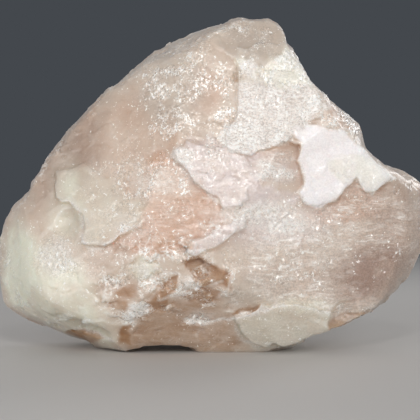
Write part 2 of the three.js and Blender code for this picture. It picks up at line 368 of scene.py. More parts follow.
RIGHT_FLAKE = (
    (9.9, 26.0), (8.6, 25.4), (9.8, 23.7), (9.5, 21.7), (10.2, 19.6), (9.3, 18.3), (10.2, 16.9),
    (11.3, 16.4), (13.4, 17.5), (15.9, 19.6), (16.6, 18.7), (17.7, 18.0), (20.2, 19.9), (18.3, 21.4),
    (16.8, 23.1), (14.5, 25.0),
)
FLAKE_EDGE = (
    ((9.8, 23.7), (9.5, 21.7), (10.2, 19.6), (9.3, 18.3), (10.2, 16.9)),
    ((13.4, 17.5), (15.9, 19.6), (16.6, 18.7), (17.7, 18.0), (20.2, 19.9), (18.3, 21.4), (16.8, 23.1)),
    ((12.4, 21.4), (13.8, 20.6), (15.2, 19.8), (15.9, 19.6)),
)
FLAKE_TIP = (
    (12.4, 21.6), (14.2, 22.4), (16.4, 22.6), (18.3, 21.4), (20.2, 19.9), (17.7, 18.0), (16.6, 18.7),
    (15.9, 19.6), (14.3, 18.8),
)
TONGUE = (
    (-18.0, 20.4), (-17.9, 17.6), (-15.9, 17.2), (-14.9, 15.9), (-14.4, 14.2), (-14.5, 12.9), (-13.6, 12.2),
    (-12.4, 12.1), (-11.0, 12.9), (-9.8, 14.0), (-8.2, 14.7), (-7.3, 17.0), (-10.8, 19.4), (-14.8, 21.1),
)
TONGUE_EDGE = (
    ((-16.4, 17.3), (-15.3, 16.5), (-14.6, 15.3), (-14.5, 14.0), (-14.6, 13.1), (-14.0, 12.4), (-13.2, 12.1)),
    ((-13.2, 12.1), (-12.3, 12.2), (-11.3, 13.0), (-10.1, 13.9), (-8.9, 14.4)),
)
PALE_BAR = ((-2.9, 12.1), (-2.2, 13.0), (0.6, 14.6), (3.6, 16.0), (3.7, 14.9), (0.3, 12.5), (-2.0, 11.7))
PEACH_STEP = (
    (-6.2, 23.4), (-4.3, 21.9), (-2.7, 20.3), (-1.0, 18.7), (1.0, 17.1), (1.4, 15.2), (-0.6, 13.4),
    (-2.7, 12.2), (-7.3, 11.4), (-10.4, 12.4), (-8.2, 14.7), (-7.2, 17.2), (-8.0, 20.5),
)
FOOT = (
    (2.1, 4.4), (2.6, 3.2), (3.1, 2.2), (4.6, 0.4), (9.3, 0.2), (10.4, 1.2), (11.3, 2.1), (12.9, 2.5),
    (13.3, 4.8), (9.9, 5.6), (5.6, 5.6),
)
LEFT_BULGE = (
    (-25.6, 14.2), (-22.3, 13.9), (-20.2, 13.1), (-18.2, 12.5), (-16.3, 11.3), (-14.4, 9.9),
    (-13.3, 7.9), (-13.1, 5.6), (-12.1, 3.0), (-10.5, 2.1), (-11.7, 0.4), (-13.6, 1.6), (-17.7, 2.7),
    (-21.7, 3.9), (-25.6, 4.6),
)
CAP = (
    (-1.2, 36.5), (0.4, 34.4), (2.4, 33.4), (3.4, 32.9), (5.1, 31.8), (6.6, 32.9), (8.3, 34.4), (9.0, 36.0),
    (7.4, 38.6), (1.5, 38.6),
)
BROWN_HOLLOW = (
    (-3.2, 10.8), (-1.6, 11.6), (-0.4, 10.8), (0.6, 10.2), (1.8, 9.2), (1.9, 8.1), (0.8, 8.2),
    (-0.8, 8.0), (-2.0, 8.6), (-2.9, 9.5),
)
BROWN_LOWER = ((-3.6, 7.1), (-1.6, 7.9), (0.5, 7.8), (0.7, 6.7), (-0.6, 6.1), (-2.6, 6.1))
BROWN_GROOVE = (
    (-4.1, 9.3), (-5.0, 9.0), (-6.0, 7.4), (-6.9, 6.5), (-8.2, 5.9), (-7.6, 4.8), (-5.6, 5.2),
    (-4.9, 6.7), (-4.0, 8.4),
)
BROWN_SHELF = ((-11.4, 7.4), (-10.2, 8.0), (-9.0, 8.0), (-8.5, 7.4), (-9.2, 6.9), (-10.6, 6.8))
BROWN_NICK = ((-11.4, 6.3), (-10.0, 6.6), (-9.5, 5.8), (-9.8, 4.8), (-10.8, 4.8), (-11.4, 5.6))
BROWN_CRACK = ((-10.4, 3.5), (-9.3, 3.5), (-9.2, 1.0), (-10.5, 1.0))
BROWN_UNDERSIDE = (
    (-9.5, 0.0), (-9.3, 2.2), (-8.6, 4.4), (-8.0, 5.9), (-5.6, 6.6), (-3.2, 6.2), (0.2, 6.0),
    (1.9, 5.0), (2.4, 3.0), (3.0, 1.8), (4.4, 0.0),
)
FOOT_CRACK = ((1.9, 4.8), (3.6, 5.6), (5.2, 5.9), (5.0, 5.4), (3.4, 4.9), (2.0, 4.5))
HEEL_NOTCH = (
    (-17.4, 1.9), (-15.3, 2.6), (-14.1, 2.5), (-12.5, 1.8), (-13.2, 1.2), (-14.5, 0.8), (-15.9, 0.8),
    (-17.2, 1.3),
)
EDGE_CHIP = ((13.1, 4.0), (15.0, 4.5), (17.5, 4.6), (16.5, 3.5), (14.7, 2.4), (12.8, 2.2))
SPLINTERED_WEDGE = (
    (-3.8, 9.1), (-2.7, 9.2), (-1.8, 8.4), (-0.8, 7.7), (-2.2, 7.3), (-4.1, 6.9), (-4.9, 6.8), (-4.1, 8.2),
)
BRIGHT_LOBE = (
    (0.7, 24.4), (1.4, 25.6), (4.0, 26.2), (7.0, 25.8), (7.8, 24.6), (6.0, 23.9), (5.0, 23.0),
    (3.2, 22.5), (1.6, 22.9),
)
PEACH_FACET = ((12.7, 28.6), (14.6, 28.0), (17.4, 25.6), (17.0, 24.4), (14.0, 25.2), (12.2, 26.8))
WARM_FLANK = (
    (15.0, 18.7), (16.5, 19.3), (17.8, 17.9), (18.8, 18.6), (18.6, 15.5), (15.0, 14.8), (11.3, 14.4),
    (11.9, 16.0), (13.5, 17.3),
)
RIGHT_SLOPE = (
    (9.9, 15.4), (14.5, 17.0), (19.7, 18.2), (25.4, 17.1), (25.4, 10.0), (23.2, 5.5), (18.3, 3.6),
    (14.7, 4.0), (5.1, 6.2), (3.0, 10.2), (4.0, 14.6),
)

FRONT_AREAS: tuple[Area, ...] = (
    # A grey rim along the outline: painted shade, darkening the stone towards its edge.
    Rim(Trait.CLEAR, 0.55, 3.5, Face.FRONT, STONE_EDGE),
    Rim(Trait.LEDGE, 0.6, 1.4, Face.FRONT, STONE_EDGE),
    *plates(WHITE_PLATE, 1.0, frost=0.85, spark=0.5),
    *plates(SCALY_TOP, 0.8, milk=0.9, frost=0.35, spark=0.9, ledge=0.5),
    *plates(BRIGHT_LOBE, 0.5, frost=1.0, spark=0.5),
    *plates(GRAINY_SHOULDER, 1.6, frost=0.25, spark=1.1, ledge=0.4),
    *plates(PEACH_FACET, 0.8, warm=0.8),
    *plates(PINK_PLATE, 0.9, pink=0.9, streak=0.35),
    *plates(RIGHT_FLAKE, 0.3, pale=0.95, streak=0.4, spark=0.15),
    *plates(FLAKE_TIP, 0.4, milk=0.5),
    *plates(TONGUE, 1.2, milk=0.3),
    *plates(PALE_BAR, 0.5, pink=0.7, pale=0.3),
    *plates(PEACH_STEP, 1.6, warm=1.2, spark=0.3, streak=0.5),
    *plates(FOOT, 0.4, milk=0.4, clear=0.65, streak=0.35, spark=0.25),
    *plates(LEFT_BULGE, 2.5, milk=0.8),
    *plates(CAP, 0.7, clear=0.65, spark=0.25),
    *plates(BROWN_HOLLOW, 0.8, brown=1.2, warm=0.9, streak=0.5),
    *plates(BROWN_LOWER, 1.0, brown=1.05, warm=0.8, streak=0.5),
    *plates(BROWN_GROOVE, 0.6, brown=1.15, warm=0.6, streak=0.4),
    *plates(BROWN_SHELF, 0.9, brown=0.8, warm=0.6, streak=0.4),
    *plates(BROWN_NICK, 0.9, brown=0.65, warm=0.5),
    *plates(BROWN_CRACK, 0.5, brown=1.0),
    *plates(FOOT_CRACK, 0.3, brown=0.9),
    *plates(HEEL_NOTCH, 0.3, brown=1.0, dusk=0.8),
    *plates(EDGE_CHIP, 0.4, brown=0.8, dusk=0.4),
    *plates(BROWN_UNDERSIDE, 1.2, brown=0.7, ledge=0.3, streak=0.3),
    *plates(SPLINTERED_WEDGE, 0.4, frost=0.4, spark=1.0),
    *plates(WARM_FLANK, 1.2, warm=0.8, streak=1.3),
    *plates(RIGHT_SLOPE, 3.0, streak=1.2),
    *seams(
        Trait.FROST, 0.65, 0.25,
        *TONGUE_EDGE,
        ((-4.4, 21.7), (-3.4, 20.9), (-2.0, 19.5), (0.5, 17.4), (1.5, 16.6)),
        ((-15.6, 2.7), (-14.1, 2.4), (-12.6, 1.9), (-11.2, 1.4)),
        ((2.4, 3.6), (3.3, 1.6), (5.2, 0.7)),
        ((-6.2, 6.4), (-3.5, 7.3), (-0.6, 8.1), (1.0, 8.6)),
        ((1.8, 9.4), (1.6, 8.1), (0.6, 6.8)),
        ((-6.6, 9.9), (-4.2, 9.6), (-3.3, 9.0)),
        ((15.9, 19.6), (16.7, 18.6), (17.7, 18.0), (20.2, 19.9)),
    ),
    *seams(
        Trait.FROST, 0.9, 0.35,
        ((-3.2, 4.0), (-0.4, 3.7), (1.6, 4.1), (3.1, 4.7), (5.8, 5.2), (7.0, 6.0)),
    ),
    *seams(Trait.FROST, 0.7, 0.25, *FLAKE_EDGE),
    # Glinting places: tilted facets, with white glints painted into the colour.
    *ovals(
        Trait.SPARK, 1.0, 1.2,
        ((-5.4, 30.8), (2.4, 3.0)), ((1.2, 27.9), (1.6, 2.6)), ((-3.9, 25.4), (1.2, 1.3)),
        ((-2.2, 21.8), (1.2, 1.4)), ((11.6, 28.2), (2.0, 1.4)), ((-16.4, 10.0), (1.5, 0.9)),
        ((-10.3, 14.2), (1.5, 0.9)), ((-7.8, 9.9), (1.2, 1.2)), ((-7.4, 11.3), (1.5, 0.9)),
        ((-11.0, 8.8), (1.7, 0.9)), ((21.4, 18.1), (1.1, 0.7)), ((3.0, 36.6), (1.2, 0.4)),
        ((6.4, 36.1), (0.9, 0.6)), ((4.8, 34.9), (0.9, 0.5)), ((-6.0, 19.3), (3.4, 1.9)),
        ((10.6, 8.6), (1.0, 1.0)), ((7.1, 8.3), (0.8, 0.4)), ((7.0, 17.5), (1.0, 0.6)),
        ((14.1, 5.0), (0.8, 0.5)), ((21.0, 11.0), (0.5, 0.6)), ((-23.9, 9.3), (0.9, 1.7)),
        ((7.0, 14.2), (1.0, 0.5)), ((7.9, 4.5), (0.7, 0.5)), ((9.2, 2.7), (0.5, 0.4)),
        ((-4.4, 15.2), (0.6, 0.6)), ((-21.9, 5.6), (0.7, 1.6)),
    ),
    *ovals(
        Trait.SPARK, 1.2, 0.8,
        ((-1.4, 4.3), (2.6, 0.8)), ((-9.2, 4.6), (1.0, 1.3)), ((-7.8, 5.4), (1.1, 0.9)),
    ),
    *ovals(Trait.SPARK, 0.8, 0.8, ((6.8, 20.3), (2.2, 0.8))),
    *ovals(Trait.STREAK, 1.3, 0.8, ((6.8, 20.3), (2.4, 0.9)), ((7.6, 22.2), (1.6, 0.6))),
    *ovals(
        Trait.SPARK, 0.65, 5.0,
        ((-1.8, 27.5), (6.0, 7.5)), ((-4.5, 8.5), (7.0, 4.0)), ((-6.5, 19.8), (6.5, 2.4)),
    ),
    *ovals(
        Trait.SPARK, 0.55, 2.5,
        ((9.0, 15.6), (6.0, 2.0)), ((-17.8, 11.0), (2.6, 2.4)), ((-10.4, 17.4), (3.0, 2.4)),
    ),
    *ovals(
        Trait.LEDGE, 0.9, 3.0,
        ((-5.0, 7.5), (7.5, 5.5)), ((4.0, 15.5), (5.0, 2.0)), ((-17.0, 3.0), (4.0, 2.0)),
    ),
    *ovals(
        Trait.WARM, 0.5, 1.5,
        ((6.6, 22.9), (2.6, 1.2)), ((9.3, 21.2), (0.7, 2.6)), ((-0.9, 29.4), (2.2, 2.6)),
    ),
    *ovals(
        Trait.WARM, 0.9, 0.8,
        ((-1.8, 18.5), (1.1, 1.3)), ((11.5, 15.3), (1.3, 0.9)), ((9.1, 15.4), (0.7, 0.7)),
    ),
    *ovals(
        Trait.WARM, 0.6, 1.2,
        ((-9.1, 19.1), (1.4, 1.3)), ((-10.0, 12.8), (2.0, 1.2)), ((-14.8, 27.6), (1.6, 3.0)),
    ),
    *ovals(Trait.WARM, 0.3, 3.0, ((-8.5, 24.0), (5.0, 5.0))),
    *ovals(
        Trait.PINK, 0.6, 2.5,
        ((5.0, 28.4), (2.2, 2.6)), ((5.2, 14.0), (4.5, 1.6)), ((6.5, 20.8), (2.8, 1.6)),
    ),
    *ovals(Trait.MILK, 0.8, 1.6, ((-7.8, 9.9), (1.4, 1.2)), ((9.6, 5.6), (3.4, 0.8))),
    *ovals(Trait.MILK, 0.8, 3.0, ((-16.3, 18.4), (1.5, 2.6)), ((-15.2, 16.6), (1.0, 2.2))),
    *ovals(Trait.MILK, 0.7, 2.0, ((8.4, 31.8), (2.2, 1.6)), ((3.6, 31.2), (1.2, 1.2))),
    *ovals(Trait.MILK, 0.5, 3.0, ((-17.0, 4.0), (6.0, 3.0)), ((-16.7, 15.2), (2.0, 2.4))),
    *ovals(Trait.MILK, 1.5, 3.0, ((-22.8, 9.0), (3.0, 5.0))),
    *ovals(
        Trait.WORN, 1.0, 3.0,
        ((-22.5, 10.0), (5.0, 9.0)), ((22.5, 11.0), (4.0, 10.0)), ((-12.0, 30.5), (9.0, 5.0)),
    ),
    *ovals(Trait.WORN, 0.7, 2.0, ((-17.0, 3.5), (6.0, 3.0)), ((-1.5, 34.0), (4.0, 2.5))),
    *ovals(
        Trait.SPARK, 0.35, 4.0,
        ((-6.0, 12.0), (9.0, 6.0)), ((13.0, 11.0), (8.0, 5.0)), ((4.0, 33.5), (4.0, 3.0)),
    ),
    *ovals(Trait.MILK, 0.2, 3.0, ((-6.4, 19.4), (3.8, 1.6))),
    *ovals(Trait.FROST, 0.5, 2.5, ((-6.0, 19.4), (2.8, 1.5)), ((-3.6, 20.9), (1.2, 0.8))),
    *ovals(Trait.FROST, 0.25, 2.0, ((-9.0, 14.6), (3.0, 1.2)), ((12.0, 12.0), (3.0, 1.4))),
    # Darker, redder ends: partly the stone's redder tone, partly painted shade where the surface turns away
    # from the light.
    *ovals(Trait.RED_AND_SHADE, 1.3, 5.0, ((20.0, 8.6), (6.5, 3.6))),
    *ovals(Trait.RED_AND_SHADE, 0.55, 5.0, ((22.5, 14.0), (5.0, 6.0))),
    *ovals(Trait.RED_AND_SHADE, 0.75, 5.0, ((-18.0, 25.0), (5.0, 7.5))),
    *ovals(Trait.RED_AND_SHADE, 0.7, 1.5, ((24.0, 9.5), (2.2, 4.0))),
    *ovals(Trait.BROWN, 0.55, 1.0, ((2.9, 31.1), (0.9, 1.1)), ((-8.9, 0.8), (1.2, 0.7))),
    *ovals(
        Trait.CLEAR, 0.6, 2.0,
        ((-21.7, 17.4), (1.7, 2.0)), ((-7.0, 33.4), (5.0, 1.5)), ((5.0, 7.6), (3.4, 2.0)),
    ),
    *ovals(Trait.CLEAR, 0.6, 3.0, ((-4.6, 30.0), (4.0, 4.5))),
    *ovals(
        Trait.FROST, 0.45, 0.8,
        ((-9.2, 4.6), (0.8, 1.1)), ((-7.8, 5.4), (0.9, 0.7)), ((-7.8, 9.9), (0.8, 0.8)),
    ),
    *ovals(
        Trait.FROST, 0.9, 0.6,
        ((3.9, 31.9), (1.0, 0.9)), ((11.9, 28.0), (0.9, 0.7)), ((-3.2, 22.4), (1.2, 0.8)),
    ),
    *ovals(Trait.FROST, 0.45, 1.6, ((-17.6, 11.0), (2.0, 1.8)), ((-1.4, 4.5), (2.0, 0.7))),
    *ovals(Trait.FROST, 0.9, 2.0, ((5.0, 16.0), (3.6, 1.3)), ((8.2, 14.8), (3.0, 1.0))),
    # Bars of white frost where the brightest glints lie, partly painted glint.
    *ovals(
        Trait.FROST, 1.0, 0.5,
        ((6.8, 20.4), (1.9, 0.5)), ((6.2, 21.3), (1.2, 0.3)), ((-8.4, 5.2), (1.2, 0.8)),
    ),
    *ovals(Trait.PALE, 0.3, 3.0, ((7.0, 15.0), (6.0, 2.2))),
)

BACK_HOLLOW = (
    (-12.0, 7.0), (-13.2, 10.6), (-10.4, 13.4), (-6.6, 14.2), (-3.4, 16.2), (0.6, 14.8), (1.6, 11.8),
    (-0.6, 8.8), (-2.8, 6.2), (-8.0, 4.9),
)
BACK_NOTCH = (
    (-0.6, 30.4), (2.2, 33.4), (5.4, 34.4), (8.4, 31.6), (8.8, 27.8), (5.8, 24.6), (2.8, 25.6), (0.4, 27.2),
)
BACK_STEP = (
    (1.0, 5.0), (-0.4, 9.0), (1.6, 12.4), (0.8, 16.0), (3.0, 19.5), (6.4, 20.4), (9.0, 23.6), (13.5, 22.0),
    (16.0, 16.5), (15.0, 9.0), (10.5, 5.0),
)
BACK_PLATE = (
    (-16.5, 17.0), (-13.2, 14.8), (-9.6, 15.6), (-6.2, 18.0), (-4.4, 22.0), (-5.8, 26.4), (-9.0, 29.2),
    (-13.6, 25.0),
)

BACK_AREAS: tuple[Area, ...] = (
    # A grey rim along the outline: painted shade, darkening the stone towards its edge.
    Rim(Trait.CLEAR, 0.55, 3.5, Face.BACK, STONE_EDGE),
    Rim(Trait.LEDGE, 0.2, 1.4, Face.BACK, STONE_EDGE),
    *plates(BACK_PLATE, 1.6, Face.BACK, frost=0.12, pink=0.6, streak=0.6),
    *plates(BACK_HOLLOW, 1.6, Face.BACK, warm=0.9, streak=0.8, spark=0.5),
    *plates(BACK_NOTCH, 1.6, Face.BACK, frost=0.15, warm=0.5, spark=0.9),
    *plates(BACK_STEP, 2.5, Face.BACK, pink=0.35, streak=0.9),
    *seams(
        Trait.FROST, 0.7, 0.3,
        BACK_PLATE, BACK_HOLLOW[:7], BACK_STEP[1:8], BACK_NOTCH[3:],
        face=Face.BACK,
    ),
)

# How each trait is spread over the back: its strength, how rare it is, and how wide its zones are
# in millimetres.
BACK_ZONES: dict[Trait, tuple[float, float, float]] = {
    Trait.FROST: (0.5, 0.25, 12.0),
    Trait.PALE: (0.4, 0.3, 14.0),
    Trait.MILK: (0.5, 0.15, 18.0),
    Trait.PINK: (0.7, 0.0, 15.0),
    Trait.WARM: (1.1, -0.15, 16.0),
    Trait.BROWN: (0.6, 0.3, 12.0),
    Trait.CLEAR: (0.3, 0.2, 14.0),
    Trait.RED_AND_SHADE: (0.4, 0.35, 16.0),
    Trait.SPARK: (0.7, 0.0, 10.0),
    Trait.LEDGE: (0.35, 0.1, 12.0),
    Trait.STREAK: (0.7, -0.2, 16.0),
    Trait.WORN: (0.5, 0.0, 16.0),
}


class Wiring:
    """Adds nodes to a tree and joins them. A value is a socket, a number or a tuple."""

    def __init__(self, tree: bpy.types.NodeTree) -> None:
        """Starts on a tree."""
        self.tree = tree

    def feed(self, socket: Socket, value: Any) -> None:
        """Joins a socket to an input, or sets the input to a plain value.

        Args:
            socket: The input.
            value: What it gets.
        """
        if isinstance(value, Socket):
            self.tree.links.new(value, socket)
        else:
            socket.default_value = value

    def node(
        self, kind: str, inputs: dict[str | int, Any] | None = None, **settings: Any
    ) -> bpy.types.Node:
        """Adds a node.

        Args:
            kind: Blender's name for the node.
            inputs: Values for its inputs, by name or place.
            settings: Values for its properties.

        Returns:
            The new node.
        """
        made = self.tree.nodes.new(kind)
        for name, value in settings.items():
            setattr(made, name, value)
        for key, value in (inputs or {}).items():
            self.feed(made.inputs[key], value)
        return made

    def math(self, operation: str, *values: Any) -> Socket:
        """The result of a sum on numbers."""
        return self.node("ShaderNodeMath", dict(enumerate(values)), operation=operation).outputs[0]

    def plus(self, *values: Any) -> Socket:
        """The sum of numbers."""
        return reduce(partial(self.math, "ADD"), values)

    def times(self, *values: Any) -> Socket:
        """The product of numbers."""
        return reduce(partial(self.math, "MULTIPLY"), values)

    def most(self, *values: Any) -> Socket:
        """The largest of numbers."""
        return reduce(partial(self.math, "MAXIMUM"), values)

    def added(self, start: Any, value: Any, share: Any) -> Socket:
        """A start, plus a share of a value."""
        return self.plus(start, self.times(value, share))

    def centred(self, value: Any) -> Socket:
        """A number of a noise, brought around zero."""
        return self.math("SUBTRACT", value, NOISE_MIDDLE)

    def ramp(self, value: Any, low: Any, high: Any) -> Socket:
        """A smooth rise from 0 where a value is low to 1 where it is high."""
        inputs = {"Value": value, "From Min": low, "From Max": high}
        return self.node("ShaderNodeMapRange", inputs, interpolation_type="SMOOTHSTEP").outputs[0]

    def blend(self, share: Any, first: Any, second: Any) -> Socket:
        """A mix of two colours, from the first at share 0 to the second at share 1."""
        return self.node("ShaderNodeMix", {0: share, 6: first, 7: second}, data_type="RGBA").outputs[2]

    def vector(self, operation: str, *values: Any) -> Socket:
        """The vector that comes of a sum on vectors."""
        return self.node("ShaderNodeVectorMath", dict(enumerate(values)), operation=operation).outputs[0]

    def number(self, operation: str, *values: Any) -> Socket:
        """The number that comes of a sum on vectors."""
        made = self.node("ShaderNodeVectorMath", dict(enumerate(values)), operation=operation)
        return made.outputs["Value"]

    def scaled(self, vector: Any, scale: Any) -> Socket:
        """A vector times a number."""
        inputs = {0: vector, "Scale": scale}
        return self.node("ShaderNodeVectorMath", inputs, operation="SCALE").outputs[0]

    def leaning(self, colour: Any) -> Socket:
        """A random colour as a vector that leans any way."""
        return self.vector("SUBTRACT", colour, (NOISE_MIDDLE,) * 3)

    def pushed(self, place: Any, push: Any, reach: Any) -> Socket:
        """A place moved along a vector, as far as a reach times its length."""
        return self.vector("ADD", place, self.scaled(push, reach))

    def stretched(self, place: Any, stretch: Triple = EVEN, shift: Triple = UNMOVED) -> Any:
        """A place with its axes scaled, and then shifted.

        Args:
            place: The place.
            stretch: The scale of each axis.
            shift: How far it is shifted.

        Returns:
            The new place.
        """
        if stretch != EVEN:
            place = self.vector("MULTIPLY", place, stretch)
        if shift != UNMOVED:
            place = self.vector("ADD", place, shift)
        return place

    def rate(self, size: Any) -> Any:
        """How often a pattern of a size repeats in a metre."""
        return self.math("DIVIDE", 1.0, size) if isinstance(size, Socket) else 1 / size

    def noise(self, place: Any, size: Any, detail: float = 2.0, rough: float = 0.5) -> bpy.types.Node:
        """A noise.

        Args:
            place: Where it is read.
            size: Width of its lumps, in metres.
            detail: How many finer layers it has.
            rough: How strong each layer is beside the one before it.

        Returns:
            Its node.
        """
        inputs = {"Vector": place, "Scale": self.rate(size), "Detail": detail, "Roughness": rough}
        return self.node("ShaderNodeTexNoise", inputs)

    def lumps(
        self,
        place: Any,
        size: Any,
        detail: float = 2.0,
        rough: float = 0.5,
        stretch: Triple = EVEN,
        shift: Triple = UNMOVED,
    ) -> Socket:
        """The numbers of a noise, from 0 to 1.

        Args:
            place: Where it is read.
            size: Width of its lumps, in metres.
            detail: How many finer layers it has.
            rough: How strong each layer is beside the one before it.
            stretch: The scale of each axis of the place.
            shift: How far the place is shifted, which sets one noise apart from another.

        Returns:
            The numbers.
        """
        return self.noise(self.stretched(place, stretch, shift), size, detail, rough).outputs["Fac"]

    def bent(
        self,
        place: Any,
        size: Any,
        reach: Any,
        stretch: Triple = EVEN,
        shift: Triple = UNMOVED,
    ) -> Socket:
        """A place pushed aside by a noise, which bends the pattern that is read there.

        Args:
            place: The place.
            size: Width of the bends, in metres.
            reach: How far it is pushed at most along each axis.
            stretch: The scale of each axis of the pushed place.
            shift: How far the pushed place is shifted.

        Returns:
            The new place.
        """
        pushed = self.pushed(place, self.noise(place, size).outputs["Color"], reach)
        return self.stretched(pushed, stretch, shift)

    def cells(self, place: Any, size: Any, feature: str = "F1") -> Any:
        """The outputs of a pattern of cells of a size."""
        inputs = {"Vector": place, "Scale": self.rate(size)}
        return self.node("ShaderNodeTexVoronoi", inputs, feature=feature).outputs

    def averaged(self, vector: Any, reach: int) -> Socket:
        """A vector field of a mesh, averaged over the points around each.

        Args:
            vector: The field.
            reach: Number of edges over which it is averaged.

        Returns:
            The averaged field.
        """
        blur = self.node("GeometryNodeBlurAttribute", {"Iterations": reach}, data_type="FLOAT_VECTOR")
        self.feed(next(socket for socket in blur.inputs if socket.type == "VECTOR"), vector)
        return next(socket for socket in blur.outputs if socket.type == "VECTOR")

    def finish(self, inputs: dict[str, Any]) -> None:
        """Ends a material's tree in a shader with some inputs."""
        shader = self.node("ShaderNodeBsdfPrincipled", inputs)
        self.node("ShaderNodeOutputMaterial", {"Surface": shader.outputs[0]})


class Skin(Wiring):
    """Wiring on the stone's surface, in the tree of its relief or of its finish.

    Attributes:
        place: Where a point of the surface is.
        normal: Which way the surface faces there.
        traits: How strong each trait is there.
        in_relief: Whether the tree is that of the relief.
    """

    def __init__(self, tree: bpy.types.NodeTree) -> None:
        """Starts on a tree.

        Args:
            tree: The tree that the nodes go in.
        """
        super().__init__(tree)
        self.in_relief = tree.type == "GEOMETRY"
        if self.in_relief:
            self.place = self.node("GeometryNodeInputPosition").outputs[0]
            self.normal = self.node("GeometryNodeInputNormal").outputs[0]
        else:
            self.place = self.node("ShaderNodeTexCoord").outputs["Object"]
            self.normal = self.node("ShaderNodeNewGeometry").outputs["Normal"]
        self.traits = {trait: self.attribute(trait.value) for trait in Trait}

    def attribute(self, name: str) -> Socket:
        """A number that the mesh stores at each point.

        Args:
            name: Name of the attribute.

        Returns:
            The number.
        """
        if self.in_relief:
            kind = "GeometryNodeInputNamedAttribute"
            return self.node(kind, {"Name": name}, data_type="FLOAT").outputs[0]
        return self.node("ShaderNodeAttribute", attribute_name=name).outputs["Fac"]


@dataclass(frozen=True)
class Relief:
    """Heights and widths of the relief that breaking leaves on the stone, in metres.

    Attributes:
        stray: How far ledges and edges stray from a straight run.
        stray_size: Length of those strays.
        swell: Height of the shallow swells of a break.
        swell_size: Width of the swells.
        step: Height of all the small steps together.
        step_size: Width of a flight of steps.
        steps: Number of steps in that height.
        tread: Share of a step's width that is flat.
        splinter: Height of the splinters in glinting areas.
        splinter_size: Width of a splinter.
        stripe: Height of the fine side-to-side stripes.
        stripe_size: Width of a stripe.
        hollow: Depth to which the brown places are broken out.
        ledge: Slope of the chips of places that are broken into small ledges.
        ledge_size: Width of a chip.
        flat_foot: Height below which the relief dies out, so that the foot stays flat.
    """

    stray: float = 0.35 * MM
    stray_size: float = 2.4 * MM
    swell: float = 0.3 * MM
    swell_size: float = 4.5 * MM
    step: float = 0.55 * MM
    step_size: float = 5.5 * MM
    steps: float = 7.0
    tread: float = 0.72
    splinter: float = 0.14 * MM
    splinter_size: float = 0.6 * MM
    stripe: float = 0.06 * MM
    stripe_size: float = 0.9 * MM
    hollow: float = 0.05 * MM
    ledge: float = 0.5
    ledge_size: float = 1.9 * MM
    flat_foot: float = 1.2 * MM

    def tree(self, material: bpy.types.Material) -> tuple[bpy.types.NodeTree, dict[str, float]]:
        """The tree that raises the relief on a mesh.

        Args:
            material: What the mesh is made of.

        Returns:
            The tree, and the value of each of its inputs by the input's identifier.
        """
        tree = bpy.data.node_groups.new("broken_surface", "GeometryNodeTree")
        tree.interface.new_socket("Geometry", in_out="INPUT", socket_type="NodeSocketGeometry")
        tree.interface.new_socket("Geometry", in_out="OUTPUT", socket_type="NodeSocketGeometry")
        values = {}
        for size in fields(self):
            socket = tree.interface.new_socket(size.name, in_out="INPUT", socket_type="NodeSocketFloat")
            values[socket.identifier] = getattr(self, size.name)

        skin = Skin(tree)
        given = skin.node("NodeGroupInput").outputs
        offset = skin.pushed(self.strays(skin, given), skin.normal, self.rise(skin, given))
        rounding = skin.vector("SUBTRACT", skin.averaged(skin.place, WEAR_REACH), skin.place)
        offset = skin.pushed(offset, rounding, skin.traits[Trait.WORN])
        height = skin.node("ShaderNodeSeparateXYZ", {0: skin.place}).outputs["Z"]
        above_foot = skin.ramp(skin.math("DIVIDE", height, given["flat_foot"]), 0.15, 1.0)
        offset = skin.scaled(offset, above_foot)

        moved = skin.node("GeometryNodeSetPosition", {"Geometry": given["Geometry"], "Offset": offset})
        crested = self.with_crests(skin, moved.outputs[0])
        real = skin.node("GeometryNodeRealizeInstances", {0: crested})
        dressed = skin.node(
            "GeometryNodeSetMaterial", {"Geometry": real.outputs[0], "Material": material}
        )
        skin.node("NodeGroupOutput", {0: dressed.outputs[0]})
        return tree, values

    @staticmethod
    def with_crests(skin: Skin, mesh: Socket) -> Socket:
        """A mesh with how far each point stands out from those around it, in millimetres.

        Args:
            skin: The wiring.
            mesh: The mesh.

        Returns:
            The mesh with the attribute on it.
        """
        proud = skin.vector("SUBTRACT", skin.place, skin.averaged(skin.place, CREST_REACH))
        stored = skin.node(
            "GeometryNodeStoreNamedAttribute",
            {"Geometry": mesh, "Name": CREST},
            data_type="FLOAT",
            domain="POINT",
        )
        height = skin.number("DOT_PRODUCT", proud, skin.normal)
        skin.feed(stored.inputs["Value"], skin.math("DIVIDE", height, MM))
        return stored.outputs[0]

    @staticmethod
    def strays(skin: Skin, given: Any) -> Socket:
        """How far ledges and edges stray along the surface.

        Args:
            skin: The wiring.
            given: The tree's inputs.

        Returns:
            The move of each point.
        """
        turn = skin.leaning(skin.noise(skin.place, given["stray_size"], 3.0).outputs["Color"])
        outward = skin.scaled(skin.normal, skin.number("DOT_PRODUCT", turn, skin.normal))
        return skin.scaled(skin.vector("SUBTRACT", turn, outward), skin.times(given["stray"], 2.0))

    def rise(self, skin: Skin, given: Any) -> Socket:
        """How far the relief stands out. Smooth places have little of its swells and steps.

        Args:
            skin: The wiring.
            given: The tree's inputs.

        Returns:
            The height of each point.
        """
        smooth = skin.most(*(skin.traits[trait] for trait in (Trait.PINK, Trait.BROWN, Trait.PALE)))
        broad = skin.plus(self.swells(skin, given), self.flights(skin, given))
        broad = skin.times(broad, skin.added(1.0, smooth, -0.8))
        fine = (self.splinters(skin, given), self.stripes(skin, given), self.chips(skin, given))
        hollow = skin.times(skin.traits[Trait.BROWN], given["hollow"])
        return skin.math("SUBTRACT", skin.plus(broad, *fine), hollow)

    @staticmethod
    def swells(skin: Skin, given: Any) -> Socket:
        """Shallow swells all over."""
        wave = skin.lumps(skin.place, given["swell_size"], shift=(0.3, 0.1, 0.7))
        return skin.times(skin.centred(wave), given["swell"])

